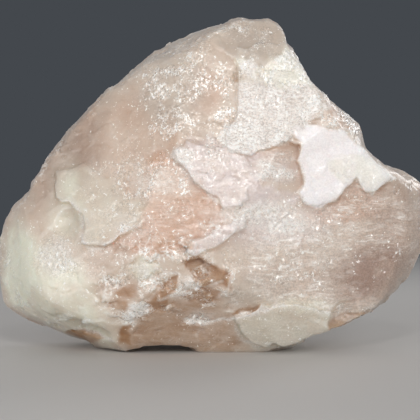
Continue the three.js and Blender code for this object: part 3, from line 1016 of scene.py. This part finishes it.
    @staticmethod
    def flights(skin: Skin, given: Any) -> Socket:
        """Flights of small steps, with flat treads and short risers.

        Args:
            skin: The wiring.
            given: The tree's inputs.

        Returns:
            Their height, most where the stone is broken into ledges.
        """
        wave = skin.lumps(
            skin.place, given["step_size"], 3.0, 0.45, stretch=(0.8, 1.0, 1.3), shift=(0.9, 0.2, 0.4)
        )
        climb = skin.times(wave, given["steps"])
        riser = skin.ramp(skin.math("FRACT", climb), given["tread"], 1.0)
        level = skin.math("DIVIDE", skin.plus(skin.math("FLOOR", climb), riser), given["steps"])
        broken = skin.added(0.35, skin.traits[Trait.LEDGE], 0.65)
        return skin.times(skin.centred(level), broken, given["step"])

    @staticmethod
    def chips(skin: Skin, given: Any) -> Socket:
        """Flat chips, each leaning its own way, with a small sharp ledge between two of them.

        Args:
            skin: The wiring.
            given: The tree's inputs.

        Returns:
            Their height, most where the stone is broken into ledges.
        """
        size = given["ledge_size"]
        bend = skin.leaning(skin.noise(skin.place, size, 3.0).outputs["Color"])
        bent = skin.stretched(skin.pushed(skin.place, bend, size), (0.8, 1.0, 1.15))
        cells = skin.cells(bent, size)
        reach = skin.vector("SUBTRACT", bent, cells["Position"])
        height = skin.number("DOT_PRODUCT", skin.leaning(cells["Color"]), reach)
        return skin.times(height, skin.added(0.06, skin.traits[Trait.LEDGE], given["ledge"]))

    @staticmethod
    def splinters(skin: Skin, given: Any) -> Socket:
        """Sharp splinters where the surface glints.

        Args:
            skin: The wiring.
            given: The tree's inputs.

        Returns:
            Their height.
        """
        size = given["splinter_size"]
        bent = skin.bent(skin.place, size, skin.times(size, 0.8))
        point = skin.math("SUBTRACT", 0.5, skin.cells(bent, size)["Distance"])
        strength = skin.added(skin.traits[Trait.SPARK], skin.traits[Trait.FROST], 0.4)
        return skin.times(point, strength, given["splinter"])

    @staticmethod
    def stripes(skin: Skin, given: Any) -> Socket:
        """Fine stripes from side to side."""
        wave = skin.lumps(
            skin.place, given["stripe_size"], stretch=FROM_SIDE_TO_SIDE, shift=(0.0, 0.5, 0.0)
        )
        return skin.times(skin.centred(wave), given["stripe"], skin.traits[Trait.STREAK])


@dataclass(frozen=True)
class Morganite:
    """The finish of the stone: milky pink beryl, glassy where it broke smooth.

    Attributes:
        body: Colour of most of the stone.
        cloud: Colour of the paler clouds in it.
        frost: Colour of the white grains of granular breaks.
        haze: Colour between those grains.
        pale: Colour of smooth white plates.
        milk: Colour of the cloudy left end.
        pink: Colour of the pale pink plates.
        warm: Colour of clear peach places.
        brown: Colour of the deepest hollows.
        clear: Grey of see-through places: painted shade for the dark backdrop seen through them.
        dusk: Colour where the stone thins out: part redder tone, part painted shade.
        glow: How much of the light is scattered inside the stone.
        glow_reach: How far red light is scattered, in metres.
        glow_tint: How far red, green and blue light is scattered beside red light.
        refraction: Refractive index of beryl.
        cloud_size: Width of the clouds.
        blotch_size: Width of the blotches in which the areas' colours are uneven.
        patch_size: Width of the patches in which white places and painted glints thicken.
        wear_size: Width of the patches in which the surface is more or less polished.
        grit_size: Width of the grit that makes the colour uneven.
        grain_size: Width of the white grains of granular breaks.
        grain_bend: Width of the bends of the threads that the grains lie in, and their reach.
        fibre_size: Thickness of the fibres of the veils.
        fibre_bend: Width of the bends of the fibres, and their reach.
        crack_sizes: Widths of the coarse and of the fine chips that cracks run around.
        fleck_size: Width of the flecks of painted glint.
        fleck_bend: Width of the bends of the rows of flecks, and their reach.
        sliver_size: Width of the slivers along whose edges glints are painted.
        piece_size: Length of the pieces in which those edges show.
        facet_size: Width of the tiny facets.
        facet_bend: Width of the bends of the facets' outlines, and their reach.
        ripple_size: Width of the finest ripples.
        stripe_size: Width of the finest stripes.
        grain_depth: Depth of the ripples, stripes and grains, which only the light shows.
    """

    body: Colour = tone(203, 182, 165)
    cloud: Colour = tone(219, 204, 189)
    frost: Colour = tone(250, 248, 243)
    haze: Colour = tone(220, 210, 202)
    pale: Colour = tone(250, 244, 244)
    milk: Colour = tone(232, 231, 214)
    pink: Colour = tone(220, 206, 203)
    warm: Colour = tone(202, 163, 137)
    brown: Colour = tone(168, 127, 90)
    clear: Colour = tone(186, 175, 163)
    dusk: Colour = tone(142, 104, 82)
    glow: float = 0.95
    glow_reach: float = 4.5 * MM
    glow_tint: Triple = (1.0, 0.88, 0.78)
    refraction: float = 1.58
    cloud_size: float = 8 * MM
    blotch_size: float = 2.8 * MM
    patch_size: float = 1.5 * MM
    wear_size: float = 3 * MM
    grit_size: float = 0.2 * MM
    grain_size: float = 0.22 * MM
    grain_bend: Pair = (1.6 * MM, 1.2 * MM)
    fibre_size: float = 0.3 * MM
    fibre_bend: Pair = (5.0 * MM, 2.0 * MM)
    crack_sizes: Pair = (1.9 * MM, 0.8 * MM)
    fleck_size: float = 0.22 * MM
    fleck_bend: Pair = (2.0 * MM, 2.4 * MM)
    sliver_size: float = 0.55 * MM
    piece_size: float = 0.4 * MM
    facet_size: float = 0.26 * MM
    facet_bend: Pair = (0.5 * MM, 0.4 * MM)
    ripple_size: float = 0.8 * MM
    stripe_size: float = 0.35 * MM
    grain_depth: float = 0.12 * MM

    def material(self) -> bpy.types.Material:
        """The finish as a node material.

        Returns:
            The material.
        """
        material = bare_material("morganite")
        skin = Skin(material.node_tree)
        frost, spark = skin.traits[Trait.FROST], skin.traits[Trait.SPARK]
        facets = self.facets(skin)
        patches = skin.lumps(skin.place, self.patch_size, 3.0, 0.6, shift=(0.1, 0.6, 0.9))
        # White grains, veils and cracks, with painted glints and the painted highlight on crests.
        white = skin.most(self.whitening(skin, patches), self.specks_and_painted_glints(skin, patches))
        broken = skin.most(frost, skin.times(spark, 0.4))
        opaque = skin.most(white, skin.times(broken, 0.8))
        skin.finish(
            {
                "Base Color": skin.blend(white, self.colour(skin), self.frost),
                "Roughness": self.roughness(skin),
                "Normal": self.grain(skin, facets),
                "IOR": self.refraction,
                "Subsurface Weight": skin.times(skin.added(1.0, opaque, -0.7), self.glow),
                "Subsurface Radius": self.glow_tint,
                "Subsurface Scale": self.glow_reach,
                "Coat Weight": skin.added(0.2, spark, 0.6),
                "Coat Roughness": 0.06,
                "Coat IOR": self.refraction,
                "Coat Normal": facets,
            }
        )
        return material

    def colour(self, skin: Skin) -> Socket:
        """The colour of the surface between its white places.

        Args:
            skin: The wiring.

        Returns:
            The colour.
        """
        traits = skin.traits
        clouds = skin.lumps(skin.place, self.cloud_size, 4.0, 0.55, stretch=(1.0, 1.0, 1.4))
        blotches = skin.lumps(skin.place, self.blotch_size, 4.0, 0.6, shift=(0.4, 0.4, 0.1))
        uneven = skin.added(0.5, skin.ramp(blotches, 0.28, 0.6), 0.5)
        colour = skin.blend(skin.ramp(clouds, 0.34, 0.66), self.body, self.cloud)
        # The clear and darker red layers are partly painted shade, beside the stone's own tones.
        for trait, layer in (
            (Trait.WARM, self.warm),
            (Trait.RED_AND_SHADE, self.dusk),
            (Trait.CLEAR, self.clear),
            (Trait.PALE, self.pale),
            (Trait.MILK, self.milk),
            (Trait.PINK, self.pink),
            (Trait.BROWN, self.brown),
        ):
            share = traits[trait] if trait is Trait.PALE else skin.times(traits[trait], uneven)
            colour = skin.blend(share, colour, layer)
        haze = skin.most(
            skin.times(traits[Trait.SPARK], uneven, 0.05),
            skin.times(traits[Trait.STREAK], 0.2),
            traits[Trait.FROST],
        )
        return self.gritty(skin, skin.blend(haze, colour, self.haze))

    def gritty(self, skin: Skin, colour: Socket) -> Socket:
        """A colour made uneven by fine grit, most in splintered and granular places.

        Args:
            skin: The wiring.
            colour: The colour.

        Returns:
            The uneven colour.
        """
        grit = skin.lumps(
            skin.place, self.grit_size, 3.0, 0.65, stretch=(0.9, 1.0, 1.1), shift=(0.2, 0.8, 0.3)
        )
        amount = skin.most(
            skin.traits[Trait.SPARK],
            skin.times(skin.traits[Trait.FROST], 0.7),
            skin.times(skin.traits[Trait.STREAK], 0.35),
        )
        shade = skin.times(skin.centred(skin.ramp(grit, 0.38, 0.62)), skin.added(0.05, amount, 0.5))
        return skin.scaled(colour, skin.plus(0.97, shade))

    def whitening(self, skin: Skin, patches: Socket) -> Socket:
        """How white granular breaks, veils, cracks and crests make the surface.

        Args:
            skin: The wiring.
            patches: The patches in which they thicken.

        Returns:
            The share of white.
        """
        # The white on crests that stand out is partly worn frost, partly painted highlight where edges catch
        # the light.
        worn = skin.times(skin.ramp(skin.attribute(CREST), 0.04, 0.14), skin.ramp(patches, 0.3, 0.6))
        white = skin.most(
            self.grains(skin, patches),
            self.veils(skin, patches),
            skin.times(self.cracks(skin, patches), 0.8),
            skin.times(worn, 0.45),
        )
        return skin.times(white, skin.added(1.0, skin.traits[Trait.BROWN], -0.5))

    def grains(self, skin: Skin, patches: Socket) -> Socket:
        """White grains, on granular breaks.

        Args:
            skin: The wiring.
            patches: The patches in which they thicken.

        Returns:
            Their share of white.
        """
        threads = skin.bent(skin.place, *self.grain_bend, stretch=(0.55, 1.0, 1.2))
        grains = skin.ramp(skin.lumps(threads, self.grain_size, 3.0, 0.7), 0.42, 0.62)
        thick = skin.added(0.4, skin.ramp(patches, 0.25, 0.6), 0.6)
        return skin.times(thick, grains, skin.traits[Trait.FROST])

    def veils(self, skin: Skin, patches: Socket) -> Socket:
        """Veils of fibres from side to side, most in striped places and least at thin ends.

        Args:
            skin: The wiring.
            patches: The patches in which they thicken.

        Returns:
            Their share of white.
        """
        fibres = skin.bent(skin.place, *self.fibre_bend, stretch=(0.14, 0.4, 1.0))
        veil = skin.ramp(skin.lumps(fibres, self.fibre_size, 5.0, 0.7), 0.42, 0.76)
        striped = skin.added(0.1, skin.traits[Trait.STREAK], 0.75)
        thinned = skin.added(1.0, skin.traits[Trait.RED_AND_SHADE], -0.7)
        return skin.times(skin.times(veil, skin.ramp(patches, 0.3, 0.6)), skin.times(striped, thinned))

    def cracks(self, skin: Skin, patches: Socket) -> Socket:
        """Cracks around chips of each size, in places broken into ledges or splinters.

        Args:
            skin: The wiring.
            patches: The patches in which they thicken.

        Returns:
            Their share of white.
        """
        cracked = skin.added(skin.traits[Trait.LEDGE], skin.traits[Trait.SPARK], 0.35)
        lines = skin.most(*(self.crack_lines(skin, size) for size in self.crack_sizes))
        return skin.times(lines, skin.times(cracked, skin.ramp(patches, 0.35, 0.6)))

    @staticmethod
    def crack_lines(skin: Skin, size: float) -> Socket:
        """Thin lines of fracture around chips of a size.

        Args:
            skin: The wiring.
            size: Width of a chip, in metres.

        Returns:
            How strong the lines are.
        """
        bend = skin.leaning(skin.noise(skin.place, size, 4.0, 0.6).outputs["Color"])
        bent = skin.stretched(skin.pushed(skin.place, bend, 1.1 * size), (0.6, 1.0, 1.2))
        away = skin.cells(bent, size, "DISTANCE_TO_EDGE")["Distance"]
        return skin.ramp(away, 0.09 * MM / size, 0.02 * MM / size)

    def specks_and_painted_glints(self, skin: Skin, patches: Socket) -> Socket:
        """How white specks and splinter edges make the surface: painted glints and white grains.

        Args:
            skin: The wiring.
            patches: The patches in which they thicken.

        Returns:
            The share of white.
        """
        place = skin.place
        thick = skin.added(skin.times(skin.ramp(patches, 0.3, 0.7), 0.06), skin.traits[Trait.SPARK], 0.15)
        thick = skin.added(thick, skin.most(skin.traits[Trait.BROWN], skin.traits[Trait.RED_AND_SHADE]), -0.05)

        flecks = skin.bent(place, *self.fleck_bend, stretch=(1.7, 1.2, 0.7), shift=(0.5, 0.1, 0.2))
        flecks = skin.lumps(flecks, self.fleck_size, 2.0, 0.55)
        specks = skin.ramp(skin.plus(flecks, thick), 0.73, 0.78)

        slivers = skin.lumps(
            place, self.sliver_size, 2.0, 0.6, stretch=(1.1, 1.0, 0.8), shift=(0.3, 0.7, 0.6)
        )
        edges = skin.ramp(skin.math("ABSOLUTE", skin.centred(slivers)), 0.05, 0.02)
        pieces = skin.lumps(place, self.piece_size, 2.0, 0.6, shift=(0.8, 0.3, 0.5))
        edges = skin.times(edges, skin.ramp(skin.plus(pieces, thick), 0.66, 0.7))
        return skin.most(specks, edges)

    def roughness(self, skin: Skin) -> Socket:
        """The roughness of the surface, most on granular breaks.

        Args:
            skin: The wiring.

        Returns:
            The roughness.
        """
        rough = skin.added(0.24, skin.lumps(skin.place, self.wear_size, 3.0), 0.16)
        matt = skin.most(skin.traits[Trait.FROST], skin.traits[Trait.PALE])
        return skin.added(skin.added(rough, matt, 0.22), skin.traits[Trait.SPARK], -0.12)

    def facets(self, skin: Skin) -> Socket:
        """The normal of tiny flat facets, each leaning its own way.

        Args:
            skin: The wiring.

        Returns:
            The normal.
        """
        bent = skin.bent(skin.place, *self.facet_bend, stretch=(1.1, 1.0, 0.75))
        lean = skin.leaning(skin.cells(bent, self.facet_size)["Color"])
        strength = skin.added(0.12, skin.traits[Trait.SPARK], 0.7)
        strength = skin.added(strength, skin.traits[Trait.FROST], 0.25)
        return skin.vector("NORMALIZE", skin.pushed(skin.normal, lean, strength))

    def grain(self, skin: Skin, facets: Socket) -> Socket:
        """The normal of the fine grain, over a share of the facets.

        Args:
            skin: The wiring.
            facets: The normal of the facets.

        Returns:
            The normal.
        """
        amount = skin.added(0.25, skin.traits[Trait.SPARK], 0.3)
        inputs = {0: amount, 4: skin.normal, 5: facets}
        under = skin.node("ShaderNodeMix", inputs, data_type="VECTOR").outputs[1]
        ripples = skin.lumps(skin.place, self.ripple_size, 5.0, 0.7)
        stripes = skin.lumps(skin.place, self.stripe_size, stretch=FROM_SIDE_TO_SIDE)
        crumbs = skin.lumps(skin.place, self.grain_size, 3.0, 0.7)
        height = skin.added(ripples, stripes, skin.traits[Trait.STREAK])
        height = skin.added(height, crumbs, skin.traits[Trait.FROST])
        bump = {"Strength": 0.35, "Distance": self.grain_depth, "Height": height, "Normal": under}
        return skin.node("ShaderNodeBump", bump).outputs[0]


@dataclass(frozen=True)
class Stone:
    """The stone's surface, made again from its solid with the fine relief on it.

    Attributes:
        voxel: Size of the surface's quads, in metres.
        most_triangles: Number of triangles that the finished piece is thinned to.
        area_stray: How far the edges of areas stray, in millimetres.
        stray_rate: How often they stray in a millimetre.
        gap_rate: How often splinters and ledges leave a gap in a millimetre.
        gap_edge: Where in the noise of the gaps a gap ends, and where splinters and ledges are whole.
        back: Where along Y the back's zones start and where they are whole, in millimetres.
        zone_edge: How far in their noise the back's zones take to become whole.
        relief: The relief.
        finish: The finish.
    """

    voxel: float = 0.155 * MM
    most_triangles: int = 190_000
    area_stray: float = 0.5
    stray_rate: float = 0.8
    gap_rate: float = 0.45
    gap_edge: Pair = (-0.25, 0.2)
    back: Pair = (-1.0, 4.0)
    zone_edge: float = 0.5
    relief: Relief = Relief()
    finish: Morganite = Morganite()

    def build(self, solid: bpy.types.Object) -> bpy.types.Object:
        """Makes the surface.

        Args:
            solid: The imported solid.

        Returns:
            The finished piece.
        """
        piece = bpy.data.objects.new(PIECE, self.merged(solid.data))
        bpy.context.scene.collection.objects.link(piece)
        remesh = piece.modifiers.new("remesh", "REMESH")
        remesh.mode = "VOXEL"
        remesh.voxel_size = self.voxel
        self.settle(piece)

        self.paint(piece.data)
        tree, values = self.relief.tree(self.finish.material())
        carve = piece.modifiers.new("relief", "NODES")
        carve.node_group = tree
        for identifier, value in values.items():
            carve[identifier] = value
        thin = piece.modifiers.new("thin", "DECIMATE")
        thin.ratio = min(1.0, self.most_triangles / (2 * len(piece.data.polygons)))
        self.settle(piece)
        piece.data.shade_smooth()
        LOG.info("%s: %d faces", piece.name, len(piece.data.polygons))
        return piece

    @staticmethod
    def merged(mesh: bpy.types.Mesh) -> bpy.types.Mesh:
        """A copy of a mesh of loose triangles with its shared corners joined.

        Args:
            mesh: The mesh.

        Returns:
            The copy.
        """
        joined = bmesh.new()
        joined.from_mesh(mesh)
        bmesh.ops.remove_doubles(joined, verts=joined.verts, dist=0.001 * MM)
        copy = bpy.data.meshes.new(PIECE)
        joined.to_mesh(copy)
        joined.free()
        return copy

    @staticmethod
    def settle(piece: bpy.types.Object) -> None:
        """Turns what a piece's modifiers make into its plain mesh.

        Args:
            piece: The piece, which loses its modifiers.
        """
        evaluated = piece.evaluated_get(bpy.context.evaluated_depsgraph_get())
        piece.data = bpy.data.meshes.new_from_object(evaluated)
        piece.modifiers.clear()

    def paint(self, mesh: bpy.types.Mesh) -> None:
        """Stores how strong each trait is at each point of a mesh.

        Args:
            mesh: The mesh that gets the attributes.
        """
        places = np.empty(len(mesh.vertices) * 3)
        mesh.vertices.foreach_get("co", places)
        places = places.reshape(-1, 3) / MM
        stray = np.array([noise.noise_vector(Vector(place) * self.stray_rate) for place in places])
        gaps = rolling((Vector(place) * self.gap_rate for place in places), 0.8, 3)
        unbroken = smoothstep(*self.gap_edge, gaps)
        behind = smoothstep(*self.back, places[:, 1])
        for trait, (strength, rarity, width) in BACK_ZONES.items():
            shift = Vector((rarity, strength, width))
            zone = rolling((Vector(place / width) + shift for place in places), 0.7, 4)
            spread = strength * behind * smoothstep(rarity, rarity + self.zone_edge, zone)
            for area in FRONT_AREAS + BACK_AREAS:
                if area.trait is trait:
                    strayed = places + min(area.feather, self.area_stray) * stray
                    spread = np.maximum(spread, area.cover(strayed))
            if trait in (Trait.SPARK, Trait.LEDGE):
                spread = spread * unbroken
            mesh.attributes.new(trait.value, "FLOAT", "POINT").data.foreach_set("value", spread)


@dataclass(frozen=True)
class Softbox:
    """A square studio light that faces the stone.

    Attributes:
        place: Where it stands.
        side: Length of its side.
        power: Its power in watts.
        tint: Its colour.
        mirrored: Whether it shows in reflections.
    """

    place: Triple
    side: float
    power: float
    tint: Triple = WHITE
    mirrored: bool = True

    def build(self, name: str, target: Vector) -> None:
        """Puts the light in the scene.

        Args:
            name: Name of the light.
            target: What it faces.
        """
        light = bpy.data.lights.new(name, "AREA")
        light.size = self.side
        light.energy = self.power
        light.color = self.tint
        lamp = bpy.data.objects.new(name, light)
        lamp.location = self.place
        lamp.visible_glossy = self.mirrored
        face_target(lamp, target)
        bpy.context.scene.collection.objects.link(lamp)


@dataclass(frozen=True)
class Studio:
    """The floor, the backdrop, the lights and the camera.

    Attributes:
        target: What the lights face and the camera looks at.
        lens: Focal length in millimetres.
        view_width: Width of the view at the stone.
        tilt: Height of the camera above the target, in degrees.
        floor_radius: Radius of the floor's even middle.
        floor_fade: Radius at which it has faded out.
        floor_colour: Colour of the floor.
        backdrop: Colour that shows around everything.
        surroundings: Colour of the soft light from all around.
    """

    target: Triple = (-0.4 * MM, 0.0, 15.9 * MM)
    lens: float = 160.0
    view_width: float = 48.3 * MM
    tilt: float = 3.0
    floor_radius: float = 60 * MM
    floor_fade: float = 190 * MM
    floor_colour: Colour = tone(196, 194, 191)
    backdrop: Colour = tone(68, 72, 77)
    surroundings: Colour = tone(146, 146, 148)

    def build(self) -> None:
        """Sets the studio up."""
        scene = bpy.context.scene
        scene.view_settings.view_transform = "Standard"
        self.build_backdrop(scene)
        self.build_floor(scene)
        self.build_camera(scene)
        for name, softbox in {
            "key_light": Softbox((0.16, -0.46, 0.20), 0.14, 0.84, WARM_WHITE),
            "fill_light": Softbox((-0.34, -0.38, 0.08), 0.36, 0.95, COOL_WHITE),
            "right_rim_light": Softbox((0.30, 0.30, 0.22), 0.18, 0.4),
            "back_light": Softbox((-0.20, 0.52, 0.22), 0.30, 0.6, WARM_WHITE, mirrored=False),
            "spark_light_left": Softbox((-0.12, -0.48, 0.20), 0.06, 0.25),
            "spark_light_right": Softbox((0.30, -0.40, 0.05), 0.06, 0.20),
            "spark_light_high": Softbox((0.02, -0.40, 0.34), 0.06, 0.18),
        }.items():
            softbox.build(name, Vector(self.target))

    def build_backdrop(self, scene: bpy.types.Scene) -> None:
        """Fills the surroundings with the backdrop's colour, and lights the stone from all around.

        Args:
            scene: The scene that they surround.
        """
        world = bpy.data.worlds.new("backdrop")
        world.use_nodes = True
        wire = Wiring(world.node_tree)
        seen = wire.node("ShaderNodeLightPath").outputs["Is Camera Ray"]
        colour = wire.blend(seen, self.surroundings, self.backdrop)
        wire.feed(world.node_tree.nodes["Background"].inputs["Color"], colour)
        scene.world = world

    def build_floor(self, scene: bpy.types.Scene) -> None:
        """Lays the floor, which fades out around the stone.

        Args:
            scene: The scene that it goes in.
        """
        mesh = bpy.data.meshes.new("floor")
        disc = bmesh.new()
        bmesh.ops.create_circle(disc, cap_ends=True, segments=96, radius=self.floor_fade)
        disc.to_mesh(mesh)
        disc.free()
        material = bare_material("floor")
        wire = Wiring(material.node_tree)
        reach = wire.number("LENGTH", wire.node("ShaderNodeTexCoord").outputs["Object"])
        fade = wire.ramp(reach, self.floor_fade, self.floor_radius)
        wire.finish({"Base Color": self.floor_colour, "Roughness": 0.6, "Alpha": fade})
        mesh.materials.append(material)
        floor = bpy.data.objects.new("floor", mesh)
        scene.collection.objects.link(floor)

    def build_camera(self, scene: bpy.types.Scene) -> None:
        """Sets the camera square to the stone's broad front.

        Args:
            scene: The scene that it looks at.
        """
        data = bpy.data.cameras.new("camera")
        data.lens = self.lens
        data.clip_start = 10 * MM
        camera = bpy.data.objects.new("camera", data)
        reach = self.view_width * self.lens / data.sensor_width
        tilt = np.radians(self.tilt)
        target = Vector(self.target)
        camera.location = target + reach * Vector((0.0, -np.cos(tilt), np.sin(tilt)))
        face_target(camera, target)
        scene.collection.objects.link(camera)
        scene.camera = camera


def main() -> None:
    """Builds the studio and the stone."""
    logging.basicConfig(level=logging.INFO, format="%(name)s: %(message)s")
    Studio().build()
    piece = Stone().build(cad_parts[NODE])
    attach(piece, "root")
    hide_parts(NODE)


if __name__ == "__main__":
    main()
